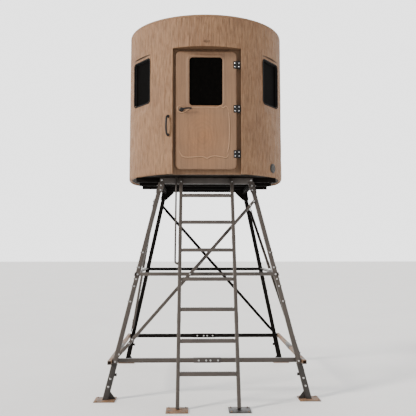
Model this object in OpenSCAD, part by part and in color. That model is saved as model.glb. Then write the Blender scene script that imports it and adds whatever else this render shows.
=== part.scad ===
// Elevated hunting blind: a round moulded cabin with a recessed overlay door,
// standing on a splayed four-leg steel tower with a ladder and a handrail.
// Millimetres, X to the right, Y away from the door side, Z up, ground at z = 0.

/* [Cabin] */
// Outside diameter of the moulded cabin at its bottom edge
cabin_diameter = 1860; // [1600:10:2000]
// Outside diameter of the cabin at the top of its wall
cabin_top_diameter = 1842; // [1600:2:2000]
// Height of the underside of the cabin above the ground
cabin_base = 2373; // [2373:1:2373]
// Height of the moulded wall below the roof
wall_height = 1727; // [1680:1:1900]
// Thickness of the double-skin wall
wall_thickness = 38; // [25:1:50]
// Rise of the roof crown above its rounded rim
roof_rise = 89; // [40:1:200]
// Thickness of the roof moulding
roof_thickness = 30; // [15:1:50]
// Thickness of the floor pan
floor_thickness = 40; // [20:1:60]

/* [Windows] */
// Distance from the cabin axis to the flat panel each window sits in
window_plane = 906; // [895:1:915]
// Width of a window
window_width = 335; // [250:1:350]
// Height of a window
window_height = 500; // [300:1:540]
// Height of the middle of the windows above the ground
window_middle = 3455; // [3400:1:3500]
// Bearing of the two front windows from the door side, in degrees
front_window_bearing = 55; // [50:1:62]
// Bearing of the two rear side windows from the door side, in degrees
rear_window_bearing = 117.5; // [112:0.5:122]

/* [Door] */
// Half width of the recess the door stands in
recess_half = 380; // [370:1:390]
// Height of the recess ceiling above the ground
recess_top = 3770; // [3770:1:3790]
// Distance from the cabin axis to the face of the recessed panel
recess_plane = 784; // [784:1:784]
// Width of the door leaf
leaf_width = 678; // [640:1:690]
// Height of the door leaf
leaf_height = 1321; // [1280:1:1330]
// Thickness of the door leaf
leaf_thickness = 30; // [20:1:40]
// How far the leaf laps over the edge of the doorway
leaf_lap = 30; // [20:1:45]
// Angle the door stands open, in degrees (0 is shut)
door_angle = 0; // [0:1:110]
// Angle the lever is pressed down, in degrees
lever_angle = 0; // [0:1:45]

/* [Tower] */
// Half distance between the leg axes at the ground
leg_base = 1053; // [1053:1:1053]
// Inward lean of the legs per millimetre of height
leg_lean = 0.233; // [0.233:0.001:0.233]
// Width of the square leg tube
leg_width = 50; // [40:1:50]
// Height of the middle braces
mid_brace_height = 1280; // [1100:1:1400]
// Height of the lower braces
low_brace_height = 378; // [378:1:500]
// Width of the square base plates
plate_width = 215; // [150:1:260]

/* [Ladder] */
// Distance from the cabin axis to the ladder feet
ladder_foot = 1485; // [1485:1:1485]
// Height of the first rung
first_rung = 325; // [250:1:350]
// Distance between rungs
rung_step = 304.5; // [250:0.5:310]

/* [Hidden] */
$fn = 96;
axis_y = (ladder_foot - leg_base) / 2;
zb = cabin_base;
zt = cabin_base + wall_height;
r1 = cabin_diameter / 2;
r2 = cabin_top_diameter / 2;
leaf_x = -9;
leaf_z = 3085.5;
leaf_front = recess_plane + 6 + leaf_thickness;
hinge_x = leaf_x + leaf_width / 2 + 3;
hinge_y = leaf_front + 7;
hinge_z = [2595, 3098, 3591];
lever_x = -281;
lever_z = 3086;
alpha = atan(leg_lean);
beta = atan(0.3864);
function ro(z) = r1 + (r2 - r1) * (z - zb) / wall_height;
function ri(z) = ro(z) - wall_thickness;
function leg_c(z) = leg_base - leg_lean * z;
function ladder_y(z) = -ladder_foot + 0.3864 * z;
function stile_x(z) = 298.5 - 11.5 * z / 2350;

// rounded rectangle centred on the origin
module rounded(w, h, r) {
  square([w - 2 * r, h], center = true);
  square([w, h - 2 * r], center = true);
  for (sx = [-1, 1], sy = [-1, 1])
    translate([sx * (w / 2 - r), sy * (h / 2 - r)]) circle(r = r);
}
// upright slab of a rounded rectangle, its front face at y = -yf
module slab(w, h, r, x, z, yf, t)
  translate([x, -yf + t, z]) rotate([90, 0, 0]) linear_extrude(height = t) rounded(w, h, r);
// solid inside the outer skin of the cabin
module outer(z0, z1)
  translate([0, 0, z0]) cylinder(r1 = ro(z0), r2 = ro(z1), h = z1 - z0, $fn = 240);
module inner(z0, z1)
  translate([0, 0, z0]) cylinder(r1 = ri(z0), r2 = ri(z1), h = z1 - z0, $fn = 240);
// sector between two bearings, measured from the door side towards +X
module wedge(a0, a1)
  translate([0, 0, zb - 10]) linear_extrude(height = wall_height + 20)
    polygon(concat([[0, 0]], [for (i = [0:4]) let (a = a0 + (a1 - a0) * i / 4)
      [1400 * sin(a), -1400 * cos(a)]]));
module window_pad(b)
  rotate([0, 0, b]) translate([-205, -window_plane - 30, 3160])
    cube([410, wall_thickness + 30, 620]);
module window_cut(b) rotate([0, 0, b]) {
  translate([-300, -window_plane - 94, 3175]) cube([600, 94, 580]);
  slab(window_width, window_height, 30, 0, window_middle, 1000, 200);
}
module front_wall(b) difference() {
  intersection() {
    union() {
      difference() { outer(zb, zt); inner(zb - 1, zt + 1); }
      intersection() { outer(zb, zt); window_pad(b); }
      intersection() {
        outer(zb, zt);
        translate([recess_half, -r1, zb]) cube([wall_thickness, r1 - recess_plane + 38, wall_height]);
      }
    }
    wedge(10, 89.985);
    translate([recess_half, -1400, zb - 5]) cube([1400, 1400, wall_height + 10]);
  }
  window_cut(b);
}
module wall_part(a0, a1, b) difference() {
  intersection() {
    union() {
      difference() { outer(zb, zt); inner(zb - 1, zt + 1); }
      intersection() { outer(zb, zt); window_pad(b); }
    }
    wedge(a0, a1);
  }
  window_cut(b);
}
module front_left_wall() color([0.62, 0.5, 0.38]) mirror([1, 0, 0]) front_wall(front_window_bearing);
module front_right_wall() color([0.62, 0.5, 0.38]) front_wall(front_window_bearing);
module rear_right_wall() color([0.6, 0.48, 0.37]) wall_part(90.015, 149.985, rear_window_bearing);
module rear_left_wall() color([0.6, 0.48, 0.37]) mirror([1, 0, 0]) wall_part(90.015, 149.985, rear_window_bearing);
module rear_wall() color([0.6, 0.48, 0.37]) wall_part(150.015, 209.985, 180);
module door_lintel() color([0.6, 0.48, 0.37]) difference() {
  intersection() {
    outer(recess_top, zt);
    translate([-recess_half + 0.3, -1400, recess_top - 5]) cube([2 * recess_half - 0.6, 1400 - recess_plane + 38, 600]);
  }
  inner(recess_top + 38, zt + 5);
}
module door_surround() color([0.5, 0.4, 0.31]) difference() {
  translate([-recess_half + 0.3, -recess_plane, zb])
    cube([2 * recess_half - 0.6, 38, recess_top - zb - 0.3]);
  slab(leaf_width - 2 * leaf_lap, leaf_height - 2 * leaf_lap, 40, leaf_x, leaf_z, recess_plane + 20, 100);
}
module floor_pan() color([0.45, 0.37, 0.3]) difference() {
  translate([0, 0, zb]) cylinder(r = r1 - wall_thickness - 0.5, h = floor_thickness);
  translate([-1000, -1400, zb - 5]) cube([2000, 1400 - recess_plane + 38.3, 100]);
}
// roof: a rounded rim and a shallow dome of even thickness
rim = r2 - 23;
dome = (rim * rim + roof_rise * roof_rise) / (2 * roof_rise);
function dome_z(r) = zt + 31 + roof_rise - (dome - sqrt(dome * dome - r * r));
module roof() color([0.55, 0.45, 0.35]) rotate_extrude()
  polygon(concat([[0, dome_z(0)]],
    [for (i = [1:7]) [rim * i / 7, dome_z(rim * i / 7)]],
    [[r2 - 9, zt + 24], [r2 - 2, zt + 12], [r2 - 1, zt + 0.3], [r2 - wall_thickness, zt + 0.3]],
    [for (i = [6:-1:1]) [(rim - 28) * i / 6, dome_z((rim - 28) * i / 6) - roof_thickness]],
    [[0, dome_z(0) - roof_thickness]]));
module pane(b) color([0.08, 0.09, 0.1]) rotate([0, 0, b])
  slab(window_width - 1, window_height - 1, 29.5, 0, window_middle, window_plane - 20, 6);
// bow handle on the wall beside the recess
module grab_handle() color([0.05, 0.05, 0.05]) rotate([0, 0, -27.5]) {
  y0 = ro(2800) + 1.2;
  translate([0, -y0 - 42, 2804]) cylinder(r = 9, h = 209);
  for (z = [2804, 3013]) {
    translate([0, -y0, z]) rotate([90, 0, 0]) cylinder(r = 9, h = 42);
    translate([0, -y0, z]) rotate([90, 0, 0]) cylinder(r = 16, h = 5);
    translate([0, -y0 - 42, z]) sphere(r = 9);
  }
}
module port_cover() color([0.25, 0.25, 0.25]) rotate([0, 0, 55])
  translate([0, -ro(2473) - 0.6, 2473]) rotate([90, 0, 0]) {
    cylinder(r = 54, h = 8);
    cylinder(r = 44, h = 13);
  }
module hinge_frame_plates() color([0.05, 0.05, 0.05])
  for (z = hinge_z) translate([hinge_x + 11.5, -leaf_front - 3, z - 42])
    cube([26.5, leaf_front + 3 - recess_plane - 0.3, 84]);

// everything below turns with the door
module on_door()
  translate([hinge_x, -hinge_y, 0]) rotate([0, 0, door_angle]) translate([-hinge_x, hinge_y, 0]) children();
module door_leaf() color([0.55, 0.45, 0.36]) on_door() difference() {
  slab(leaf_width, leaf_height, 60, leaf_x, leaf_z, leaf_front, leaf_thickness);
  slab(366, 541, 36, leaf_x - 1, 3405.5, leaf_front + 20, 100);
}
module door_window() color([0.08, 0.09, 0.1]) on_door()
  slab(365, 540, 35.5, leaf_x - 1, 3405.5, leaf_front - 10, 6);
module hinge_door_plates() color([0.05, 0.05, 0.05]) on_door()
  for (z = hinge_z) {
    translate([hinge_x - 39, -leaf_front - 3.3, z - 42]) cube([37, 3, 84]);
    translate([hinge_x, -hinge_y, z - 42]) cylinder(r = 6, h = 84);
  }
module lever_handle() color([0.05, 0.05, 0.05]) on_door()
  translate([lever_x, 0, lever_z]) rotate([0, lever_angle, 0]) {
    translate([0, -leaf_front - 9.5, 0]) rotate([90, 0, 0]) cylinder(r = 10, h = 33);
    translate([0, -leaf_front - 30, -8]) rotate([0, -5, 0]) translate([-6, -12, 0]) cube([112, 12, 16]);
    translate([106, -leaf_front - 30.5, 1.5]) rotate([90, 0, 0]) cylinder(r = 10, h = 11);
  }

// a leaning square tube in the +X +Y corner, with level ends
module leaner(z0, z1, w) {
  a = leg_c(z0);
  b = leg_c(z1);
  h = w / 2;
  polyhedron(points = [[a - h, a - h, z0], [a + h, a - h, z0], [a + h, a + h, z0], [a - h, a + h, z0],
    [b - h, b - h, z1], [b + h, b - h, z1], [b + h, b + h, z1], [b - h, b + h, z1]],
    faces = [[0, 1, 2, 3], [7, 6, 5, 4], [0, 4, 5, 1], [1, 5, 6, 2], [2, 6, 7, 3], [3, 7, 4, 0]]);
}
module leg(k) rotate([0, 0, 90 * k]) leaner(200, 2292, leg_width);
module foot(k) rotate([0, 0, 90 * k]) {
  translate([leg_base - plate_width / 2, leg_base - plate_width / 2, 0]) cube([plate_width, plate_width, 8]);
  difference() {
    leaner(4, 352, leg_width + 10);
    leaner(30, 360, leg_width + 1.5);
  }
  // triangular stiffener towards the middle of the door face or rear face
  if (k % 2 == 0)
    translate([0, leg_c(40) + 3, 0]) rotate([90, 0, 0]) linear_extrude(height = 6)
      polygon([[leg_base - 26, 4], [leg_base - 105, 4], [leg_base - 105, 12], [leg_c(88) - 28, 88]]);
  else
    translate([leg_c(40) - 3, 0, 0]) rotate([90, 0, 90]) linear_extrude(height = 6)
      polygon([[leg_base - 26, 4], [leg_base - 105, 4], [leg_base - 105, 12], [leg_c(88) - 28, 88]]);
}
// frame on the outer face of the tower: X along the face, Y inwards, Z up the slope
module face(k, z)
  rotate([0, 0, 90 * k]) translate([0, -leg_c(z) - leg_width / 2, z]) rotate([-alpha, 0, 0]) children();
module top_frame() color([0.42, 0.38, 0.34]) {
  for (s = [0, 180]) rotate([0, 0, s]) {
    translate([-530, -544, 2293]) cube([1060, 50, 70]);
    translate([494, -493.5, 2270]) cube([50, 987, 24]);
    translate([494, -496, 2293]) cube([50, 992, 28]);
  }
  for (k = [0:3]) face(k, 2190) for (m = [0, 1]) mirror([m, 0, 0])
    translate([0, -0.3, 0]) rotate([90, 0, 0]) linear_extrude(height = 6)
      polygon([[565, 0], [505, 0], [k == 0 ? 478 : 405, 95], [k == 0 ? 478 : 405, 131], [540, 131], [563, 60]]);
}
module floor_rails() color([0.07, 0.07, 0.07])
  for (y = [-455, -25, 405]) translate([-805, y, 2321.3]) cube([1610, 50, 51.2]);
// angle bar along a face, with its upper flange turned in between the legs
module mid_brace(k, x0, x1) face(k, mid_brace_height) {
  translate([x0, -4.5, -20]) cube([x1 - x0, 4, 40]);
  translate([-718, -4.5, 16]) cube([1436, 40, 4]);
}
module tube(l, w, h, t) difference() {
  cube([l, w, h]);
  translate([-1, t, t]) cube([l + 2, w - 2 * t, h - 2 * t]);
}
module low_brace_cross(s) rotate([0, 0, s]) {
  translate([-990, -934, low_brace_height - 22.5]) tube(1980, 42, 45, 3);
  translate([-145, -937, low_brace_height - 25.5]) tube(290, 48, 51, 4);
}
module low_brace_side(s) mirror([s, 0, 0])
  translate([1035, -1055, low_brace_height - 20]) rotate([0, 0, 90]) tube(2055, 40, 40, 3);
// angle bar on the outside of a face; its flange turns in along the lower edge
// and is coped at the legs and where the bar crosses the middle brace
module diagonal(k) {
  x0 = 545;
  z0 = 2100 / cos(alpha);
  x1 = -930;
  z1 = 440 / cos(alpha);
  l = sqrt((x0 - x1) * (x0 - x1) + (z0 - z1) * (z0 - z1));
  c = l * (mid_brace_height - 440) / (2100 - 440);
  face(k, 0) translate([x1, -10, z1]) rotate([0, -atan2(z0 - z1, x0 - x1), 0])
    {
      translate([-15, 0, -16.5]) cube([l + 30, 5, 33]);
      translate([60, 3, -16.5]) cube([c - 45 - 60, 27, 4]);
      translate([c + 65, 3, -16.5]) cube([l - 60 - c - 65, 27, 4]);
    }
}
module ladder() color([0.42, 0.38, 0.34]) {
  for (m = [-1, 1]) {
    translate([m * 298.5, -ladder_foot, 0]) rotate([-beta, 0, 0]) rotate([0, -m * 0.2615, 0])
      translate([-18.5, -22.5, 14]) cube([37, 45, 2350 / cos(beta) - 14]);
    translate([m * 302 - plate_width / 2, -ladder_foot - plate_width / 2, 0]) cube([plate_width, plate_width, 8]);
  }
  for (i = [0:6]) {
    z = first_rung + rung_step * i;
    translate([-stile_x(z), ladder_y(z) - 25, z - 20]) cube([2 * stile_x(z), 50, 40]);
  }
}
module handrail() color([0.07, 0.07, 0.07]) difference() {
  translate([-342, -ladder_foot, 0]) rotate([-beta, 0, 0]) {
    translate([0, 0, 1530]) cylinder(r = 10.5, h = 1100);
    translate([31, 0, 1530]) rotate([90, 0, 0]) rotate([0, 0, 180])
      rotate_extrude(angle = 90) translate([31, 0]) circle(r = 10.5);
  }
  translate([-500, -900, 2372.4]) cube([300, 900, 400]);
}

module at_axis() translate([0, axis_y, 0]) children();
module steel() color([0.42, 0.38, 0.34]) children();
module dark_steel() color([0.1, 0.09, 0.08]) children();
at_axis() roof();
at_axis() floor_pan();
at_axis() front_left_wall();
at_axis() front_right_wall();
at_axis() rear_left_wall();
at_axis() rear_right_wall();
at_axis() rear_wall();
at_axis() door_lintel();
at_axis() door_surround();
at_axis() pane(-front_window_bearing);  // window_front_left
at_axis() pane(front_window_bearing);  // window_front_right
at_axis() pane(-rear_window_bearing);  // window_rear_left
at_axis() pane(rear_window_bearing);  // window_rear_right
at_axis() pane(180);  // window_rear
at_axis() grab_handle();
at_axis() port_cover();
at_axis() hinge_frame_plates();
at_axis() door_leaf();
at_axis() door_window();
at_axis() hinge_door_plates();
at_axis() lever_handle();
at_axis() steel() leg(2);  // leg_front_left
at_axis() steel() leg(3);  // leg_front_right
at_axis() dark_steel() leg(1);  // leg_rear_left
at_axis() dark_steel() leg(0);  // leg_rear_right
at_axis() steel() foot(2);  // foot_front_left
at_axis() steel() foot(3);  // foot_front_right
at_axis() dark_steel() foot(1);  // foot_rear_left
at_axis() dark_steel() foot(0);  // foot_rear_right
at_axis() top_frame();
at_axis() floor_rails();
at_axis() steel() mid_brace(0, -774.5, 774.5);  // mid_brace_front
at_axis() dark_steel() mid_brace(2, -774.5, 774.5);  // mid_brace_rear
at_axis() steel() mid_brace(3, -774.5, 825);  // mid_brace_left
at_axis() steel() mid_brace(1, -825, 774.5);  // mid_brace_right
at_axis() steel() low_brace_cross(0);  // low_brace_front
at_axis() dark_steel() low_brace_cross(180);  // low_brace_rear
at_axis() steel() low_brace_side(1);  // low_brace_left
at_axis() steel() low_brace_side(0);  // low_brace_right
at_axis() steel() diagonal(0);  // diagonal_front
at_axis() dark_steel() diagonal(2);  // diagonal_rear
at_axis() steel() diagonal(3);  // diagonal_left
at_axis() steel() diagonal(1);  // diagonal_right
at_axis() ladder();
at_axis() handrail();
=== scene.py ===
import bpy, bmesh, math
import numpy as np
from mathutils import Matrix, Vector, noise


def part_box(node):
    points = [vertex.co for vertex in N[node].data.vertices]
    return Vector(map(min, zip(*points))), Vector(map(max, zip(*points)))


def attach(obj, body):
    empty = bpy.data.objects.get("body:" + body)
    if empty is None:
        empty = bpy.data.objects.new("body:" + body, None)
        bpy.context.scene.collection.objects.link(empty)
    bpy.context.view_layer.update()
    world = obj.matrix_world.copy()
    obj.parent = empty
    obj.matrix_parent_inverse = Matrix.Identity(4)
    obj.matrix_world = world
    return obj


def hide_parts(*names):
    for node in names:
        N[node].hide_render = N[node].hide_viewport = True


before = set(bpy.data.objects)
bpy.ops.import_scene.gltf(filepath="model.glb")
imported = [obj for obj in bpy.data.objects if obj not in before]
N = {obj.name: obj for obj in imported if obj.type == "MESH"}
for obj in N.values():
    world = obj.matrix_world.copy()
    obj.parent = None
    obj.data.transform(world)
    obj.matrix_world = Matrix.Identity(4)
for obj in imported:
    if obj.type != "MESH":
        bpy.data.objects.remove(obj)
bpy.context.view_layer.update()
flo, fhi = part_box("floor_pan")
Y0 = fhi.y - 0.8915          # cabin axis: the floor pan's rear edge less its radius
ZB = flo.z                   # underside of the cabin
rlo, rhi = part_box("roof")
ZT = rlo.z - 0.0003          # top of the wall
R1, R2, WT = 0.930, 0.921, 0.038
S, HB = 0.233, 1.053
ALPHA, SL = math.atan(S), 0.3864
BETA = math.atan(SL)
LF = 1.485
RX, RZ, RP = 0.380, 3.770, 0.784     # recess: half width, ceiling height, panel plane
LEAFX, LEAFZ, LEAFY = -0.009, 3.0855, 0.820
HX, HY = 0.333, 0.827
HZ = (2.595, 3.098, 3.591)
LX, LZ = -0.281, 3.086

# ------------------------------------------------------------------ camera
cam = bpy.data.cameras.new("cam")
cam.lens = 53.34
cam.sensor_width = 36
camo = bpy.data.objects.new("cam", cam)
camo.location = (-0.148, -7.538 + Y0, 1.574)
camo.rotation_euler = (math.radians(93.626), 0, math.radians(-1.364))
bpy.context.collection.objects.link(camo)
bpy.context.scene.camera = camo

# ------------------------------------------------------------------ materials
def mat(name):
    m = bpy.data.materials.new(name)
    m.use_nodes = True
    nt = m.node_tree
    return m, nt, nt.nodes["Principled BSDF"]

def node(nt, kind, **kw):
    n = nt.nodes.new(kind)
    for k, v in kw.items():
        if hasattr(n, k):
            setattr(n, k, v)
        else:
            n.inputs[k.replace("_", " ")].default_value = v
    return n

def ramp(nt, fac, stops):
    r = nt.nodes.new("ShaderNodeValToRGB")
    e = r.color_ramp.elements
    while len(e) > 1:
        e.remove(e[0])
    e[0].position = stops[0][0]
    e[0].color = (*stops[0][1], 1)
    for p, c in stops[1:]:
        x = e.new(p)
        x.color = (*c, 1)
    nt.links.new(fac, r.inputs[0])
    return r.outputs[0]

def coords(nt, kind="Object", scale=(1, 1, 1)):
    t = nt.nodes.new("ShaderNodeTexCoord")
    m = nt.nodes.new("ShaderNodeMapping")
    m.inputs["Scale"].default_value = scale
    nt.links.new(t.outputs[kind], m.inputs[0])
    return m.outputs[0]

def nz(nt, vec, scale, detail=4, rough=0.55, dist=0.0):
    n = nt.nodes.new("ShaderNodeTexNoise")
    n.inputs["Scale"].default_value = scale
    n.inputs["Detail"].default_value = detail
    n.inputs["Roughness"].default_value = rough
    n.inputs["Distortion"].default_value = dist
    nt.links.new(vec, n.inputs["Vector"])
    return n.outputs["Fac"]

def mixc(nt, fac, a, b, mode="MIX"):
    m = nt.nodes.new("ShaderNodeMix")
    m.data_type = "RGBA"
    m.blend_type = mode
    if isinstance(fac, float):
        m.inputs[0].default_value = fac
    else:
        nt.links.new(fac, m.inputs[0])
    for i, v in ((6, a), (7, b)):
        if isinstance(v, tuple):
            m.inputs[i].default_value = (*v, 1)
        else:
            nt.links.new(v, m.inputs[i])
    return m.outputs[2]

def mth(nt, op, a, b=0.0, c=0.0):
    m = nt.nodes.new("ShaderNodeMath")
    m.operation = op
    for i, v in enumerate((a, b, c)):
        if isinstance(v, (int, float)):
            m.inputs[i].default_value = v
        else:
            nt.links.new(v, m.inputs[i])
    return m.outputs[0]

def bump(nt, h, dist, strength=1.0, normal=None):
    b = nt.nodes.new("ShaderNodeBump")
    b.inputs["Distance"].default_value = dist
    b.inputs["Strength"].default_value = strength
    nt.links.new(h, b.inputs["Height"])
    if normal:
        nt.links.new(normal, b.inputs["Normal"])
    return b.outputs[0]

def rng(nt, v, a, b, c, d):
    m = nt.nodes.new("ShaderNodeMapRange")
    for i, x in enumerate((a, b, c, d)):
        m.inputs[i + 1].default_value = x
    nt.links.new(v, m.inputs[0])
    return m.outputs[0]

def scale_c(c, k):
    return tuple(x * k for x in c)

TAN = (0.232, 0.131, 0.070)

def bark(name, base, uv=True, streak=1.0):
    m, nt, p = mat(name)
    if uv:
        v1 = coords(nt, "UV", (1, 0.050, 1))
        v2 = coords(nt, "UV", (1, 0.30, 1))
        v3 = coords(nt, "UV", (1, 1, 1))
    else:
        v1 = coords(nt, "Object", (1, 1, 0.035))
        v2 = coords(nt, "Object", (1, 1, 0.16))
        v3 = coords(nt, "Object", (1, 1, 1))
    a = nz(nt, v1, 90, 7, 0.64, 0.35)
    b = nz(nt, v2, 34, 6, 0.65, 0.6)
    c = nz(nt, v3, 2.2, 4, 0.55)
    col = ramp(nt, a, [(0.32, scale_c(base, 1 - 0.46 * streak)), (0.42, scale_c(base, 1 - 0.16 * streak)),
                       (0.50, base), (0.70, scale_c(base, 1 + 0.22 * streak))])
    col2 = ramp(nt, b, [(0.32, scale_c((0.86, 0.80, 0.76), 1 - 0.12 * streak)), (0.55, (1, 1, 1)), (0.72, (1.08, 1.07, 1.03))])
    col3 = ramp(nt, c, [(0.3, (0.90, 0.87, 0.86)), (0.6, (1.04, 1.03, 1.0)), (0.8, (1.10, 1.05, 0.98))])
    x = mixc(nt, 1.0, col, col2, "MULTIPLY")
    x = mixc(nt, 1.0, x, col3, "MULTIPLY")
    nt.links.new(x, p.inputs["Base Color"])
    nt.links.new(rng(nt, b, 0.3, 0.7, 0.74, 0.56), p.inputs["Roughness"])
    n1 = bump(nt, a, 0.007 * streak + 0.0004, 0.85)
    nt.links.new(bump(nt, nz(nt, v3, 420, 3, 0.6), 0.0006, 0.5, n1), p.inputs["Normal"])
    p.inputs["Specular IOR Level"].default_value = 0.35
    return m

def door_mat(name, base):
    m, nt, p = mat(name)
    v1 = coords(nt, "Object", (1, 1, 0.05))
    v3 = coords(nt, "Object")
    a = nz(nt, v1, 55, 6, 0.6, 0.3)
    c = nz(nt, v3, 3.1, 4, 0.6)
    sp = nz(nt, v3, 95, 4, 0.7)
    # faint growth rings in the lower panel, centred on it
    t = nt.nodes.new("ShaderNodeTexCoord")
    mp = nt.nodes.new("ShaderNodeMapping")
    mp.inputs["Location"].default_value = (0.05, 0, -2.80 * 0.75)
    mp.inputs["Scale"].default_value = (1, 0, 0.75)
    nt.links.new(t.outputs["Object"], mp.inputs[0])
    w = nt.nodes.new("ShaderNodeTexWave")
    w.wave_type = "RINGS"
    w.rings_direction = "SPHERICAL"
    w.inputs["Scale"].default_value = 9.0
    w.inputs["Distortion"].default_value = 5.5
    w.inputs["Detail"].default_value = 3
    nt.links.new(mp.outputs[0], w.inputs["Vector"])
    ln = nt.nodes.new("ShaderNodeVectorMath"); ln.operation = "LENGTH"
    nt.links.new(mp.outputs[0], ln.inputs[0])
    fade = rng(nt, ln.outputs["Value"], 0.10, 0.27, 1.0, 0.0)
    ring = mth(nt, "MULTIPLY", mth(nt, "SUBTRACT", w.outputs["Fac"], 0.5), fade)
    col = ramp(nt, a, [(0.3, scale_c(base, 0.80)), (0.5, base), (0.72, scale_c(base, 1.12))])
    col3 = ramp(nt, c, [(0.3, (0.90, 0.88, 0.88)), (0.6, (1.03, 1.02, 1.0)), (0.8, (1.09, 1.05, 0.99))])
    x = mixc(nt, 1.0, col, col3, "MULTIPLY")
    rc = ramp(nt, mth(nt, "ADD", mth(nt, "MULTIPLY", ring, 0.5), 0.5), [(0.2, (0.95, 0.94, 0.93)), (0.5, (1, 1, 1)), (0.8, (1.04, 1.03, 1.01))])
    x = mixc(nt, 1.0, x, rc, "MULTIPLY")
    warm = ramp(nt, mth(nt, "MULTIPLY", rng(nt, ln.outputs["Value"], 0.0, 0.34, 1.0, 0.0), rng(nt, nz(nt, v3, 7.0, 4, 0.6), 0.3, 0.7, 0.6, 1.25)), [(0.0, (0.97, 0.96, 0.97)), (1.0, (1.27, 1.08, 0.87))])
    x = mixc(nt, 1.0, x, warm, "MULTIPLY")
    nt.links.new(x, p.inputs["Base Color"])
    nt.links.new(rng(nt, c, 0.3, 0.7, 0.62, 0.48), p.inputs["Roughness"])
    n1 = bump(nt, ring, 0.002, 0.35)
    n2 = bump(nt, a, 0.0016, 0.6, n1)
    nt.links.new(bump(nt, sp, 0.0006, 0.5, n2), p.inputs["Normal"])
    return m

def steel(name, base, scuff=(0.55, 0.50, 0.45), amount=0.5, rust=0.0, rough=(0.42, 0.62)):
    m, nt, p = mat(name)
    v = coords(nt, "Object")
    a = nz(nt, v, 9, 5, 0.6)
    b = nz(nt, v, 46, 6, 0.7)
    f = nz(nt, v, 620, 2, 0.5)
    col = ramp(nt, a, [(0.3, scale_c(base, 0.80)), (0.55, base), (0.75, scale_c(base, 1.16))])
    sc = rng(nt, b, 0.60, 0.72, 0.0, amount)
    col = mixc(nt, sc, col, scuff)
    if rust:
        r1 = nz(nt, v, 13, 7, 0.68, 0.4)
        mask = rng(nt, r1, 0.5 - 0.16 * rust, 0.56 - 0.05 * rust, 0.0, 1.0)
        rc = ramp(nt, nz(nt, v, 70, 5, 0.7), [(0.3, (0.075, 0.035, 0.018)), (0.5, (0.20, 0.105, 0.052)), (0.7, (0.32, 0.205, 0.12))])
        col = mixc(nt, mask, col, rc)
        rr = mth(nt, "MAXIMUM", rng(nt, b, 0.35, 0.65, *rough), mth(nt, "MULTIPLY", mask, 0.85))
        nt.links.new(rr, p.inputs["Roughness"])
    else:
        nt.links.new(rng(nt, b, 0.35, 0.65, *rough), p.inputs["Roughness"])
    nt.links.new(col, p.inputs["Base Color"])
    n1 = bump(nt, f, 0.0004, 0.5)
    nt.links.new(bump(nt, b, 0.0007, 0.4, n1), p.inputs["Normal"])
    return m

def plain(name, base, lo=0.35, hi=0.55, metal=0.0, scale=60, var=0.15, bd=0.0005):
    m, nt, p = mat(name)
    v = coords(nt, "Object")
    a = nz(nt, v, scale, 5, 0.6)
    col = ramp(nt, a, [(0.3, scale_c(base, 1 - var)), (0.7, scale_c(base, 1 + var))])
    nt.links.new(col, p.inputs["Base Color"])
    nt.links.new(rng(nt, a, 0.3, 0.7, lo, hi), p.inputs["Roughness"])
    nt.links.new(bump(nt, nz(nt, v, scale * 7, 3), bd, 0.5), p.inputs["Normal"])
    p.inputs["Metallic"].default_value = metal
    return m

M_BARK = bark("bark_shell", TAN)
M_ROOF = bark("roof_plastic", scale_c(TAN, 0.92), uv=False, streak=0.25)
# painted shade: the jamb returns, recess ceiling and door surround are coloured darker than the wall; the raised pad
# over the door takes the same darker tan
M_RECESS_SHADE_AND_PAD = bark("recess_painted_shade_and_pad", scale_c(TAN, 0.60), uv=False, streak=0.25)
# painted shadow: dark tan for the band under each window ledge and the strips beside the door ridges
M_PAINTED_SHADOW = plain("painted_shadow_strip", scale_c(TAN, 0.30), 0.6, 0.8)
M_DOOR = door_mat("door_plastic", scale_c(TAN, 0.84))
# painted highlight: the raised door lines are coloured lighter than the door
M_RIDGE_PAINTED_HIGHLIGHT = plain("door_ridges_painted_light", scale_c(TAN, 1.30), 0.45, 0.6, var=0.08)
M_MAT = plain("cabin_floor_top", (0.085, 0.058, 0.038), 0.6, 0.8, scale=30)
M_INNER = plain("inner_skin", (0.105, 0.072, 0.048), 0.6, 0.8, scale=25)
# painted shade: the floor pan's underside is coloured near-black for the shade under the cabin
M_UNDERSIDE_PAINTED_SHADE = plain("underside_painted_shade", (0.012, 0.009, 0.007), 0.6, 0.8, scale=18, var=0.3)
M_STEEL = steel("tower_paint", (0.049, 0.039, 0.033), scuff=(0.15, 0.12, 0.10), amount=0.35)
M_STEEL2 = steel("ladder_paint", (0.051, 0.041, 0.035), scuff=(0.15, 0.12, 0.10), amount=0.4)
M_RAIL = steel("handrail_paint", (0.040, 0.033, 0.029), scuff=(0.13, 0.11, 0.09), amount=0.3)
# painted shade: a near-black, duller copy of the tower paint, put on the rear legs, feet, braces and diagonal, the rear
# and side frame members and the floor rails where they stand in shade
M_PAINTED_SHADE_STEEL = steel("painted_shade_steel", (0.0075, 0.0065, 0.006), scuff=(0.03, 0.025, 0.02), amount=0.3, rough=(0.55, 0.75))
M_PAINTED_SHADE_STEEL.node_tree.nodes["Principled BSDF"].inputs["Specular IOR Level"].default_value = 0.06
M_PAINTED_SHADE_STEEL.node_tree.nodes["Principled BSDF"].inputs["IOR"].default_value = 1.2
M_FOOT = steel("foot_paint", (0.019, 0.0155, 0.0135), scuff=(0.08, 0.06, 0.045), amount=0.4)
M_SIDE = steel("side_tube_paint", (0.085, 0.060, 0.042), scuff=(0.22, 0.16, 0.10), amount=0.5, rust=0.5)
M_PLATE = steel("base_plate_rust", (0.095, 0.068, 0.052), scuff=(0.25, 0.2, 0.15), amount=0.5, rust=0.8, rough=(0.55, 0.8))
M_BOLT = plain("zinc_bolts", (0.46, 0.46, 0.46), 0.30, 0.5, metal=0.85, scale=200)
M_SCREW = plain("bright_screws", (0.80, 0.80, 0.82), 0.18, 0.32, metal=0.9, scale=300)
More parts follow.
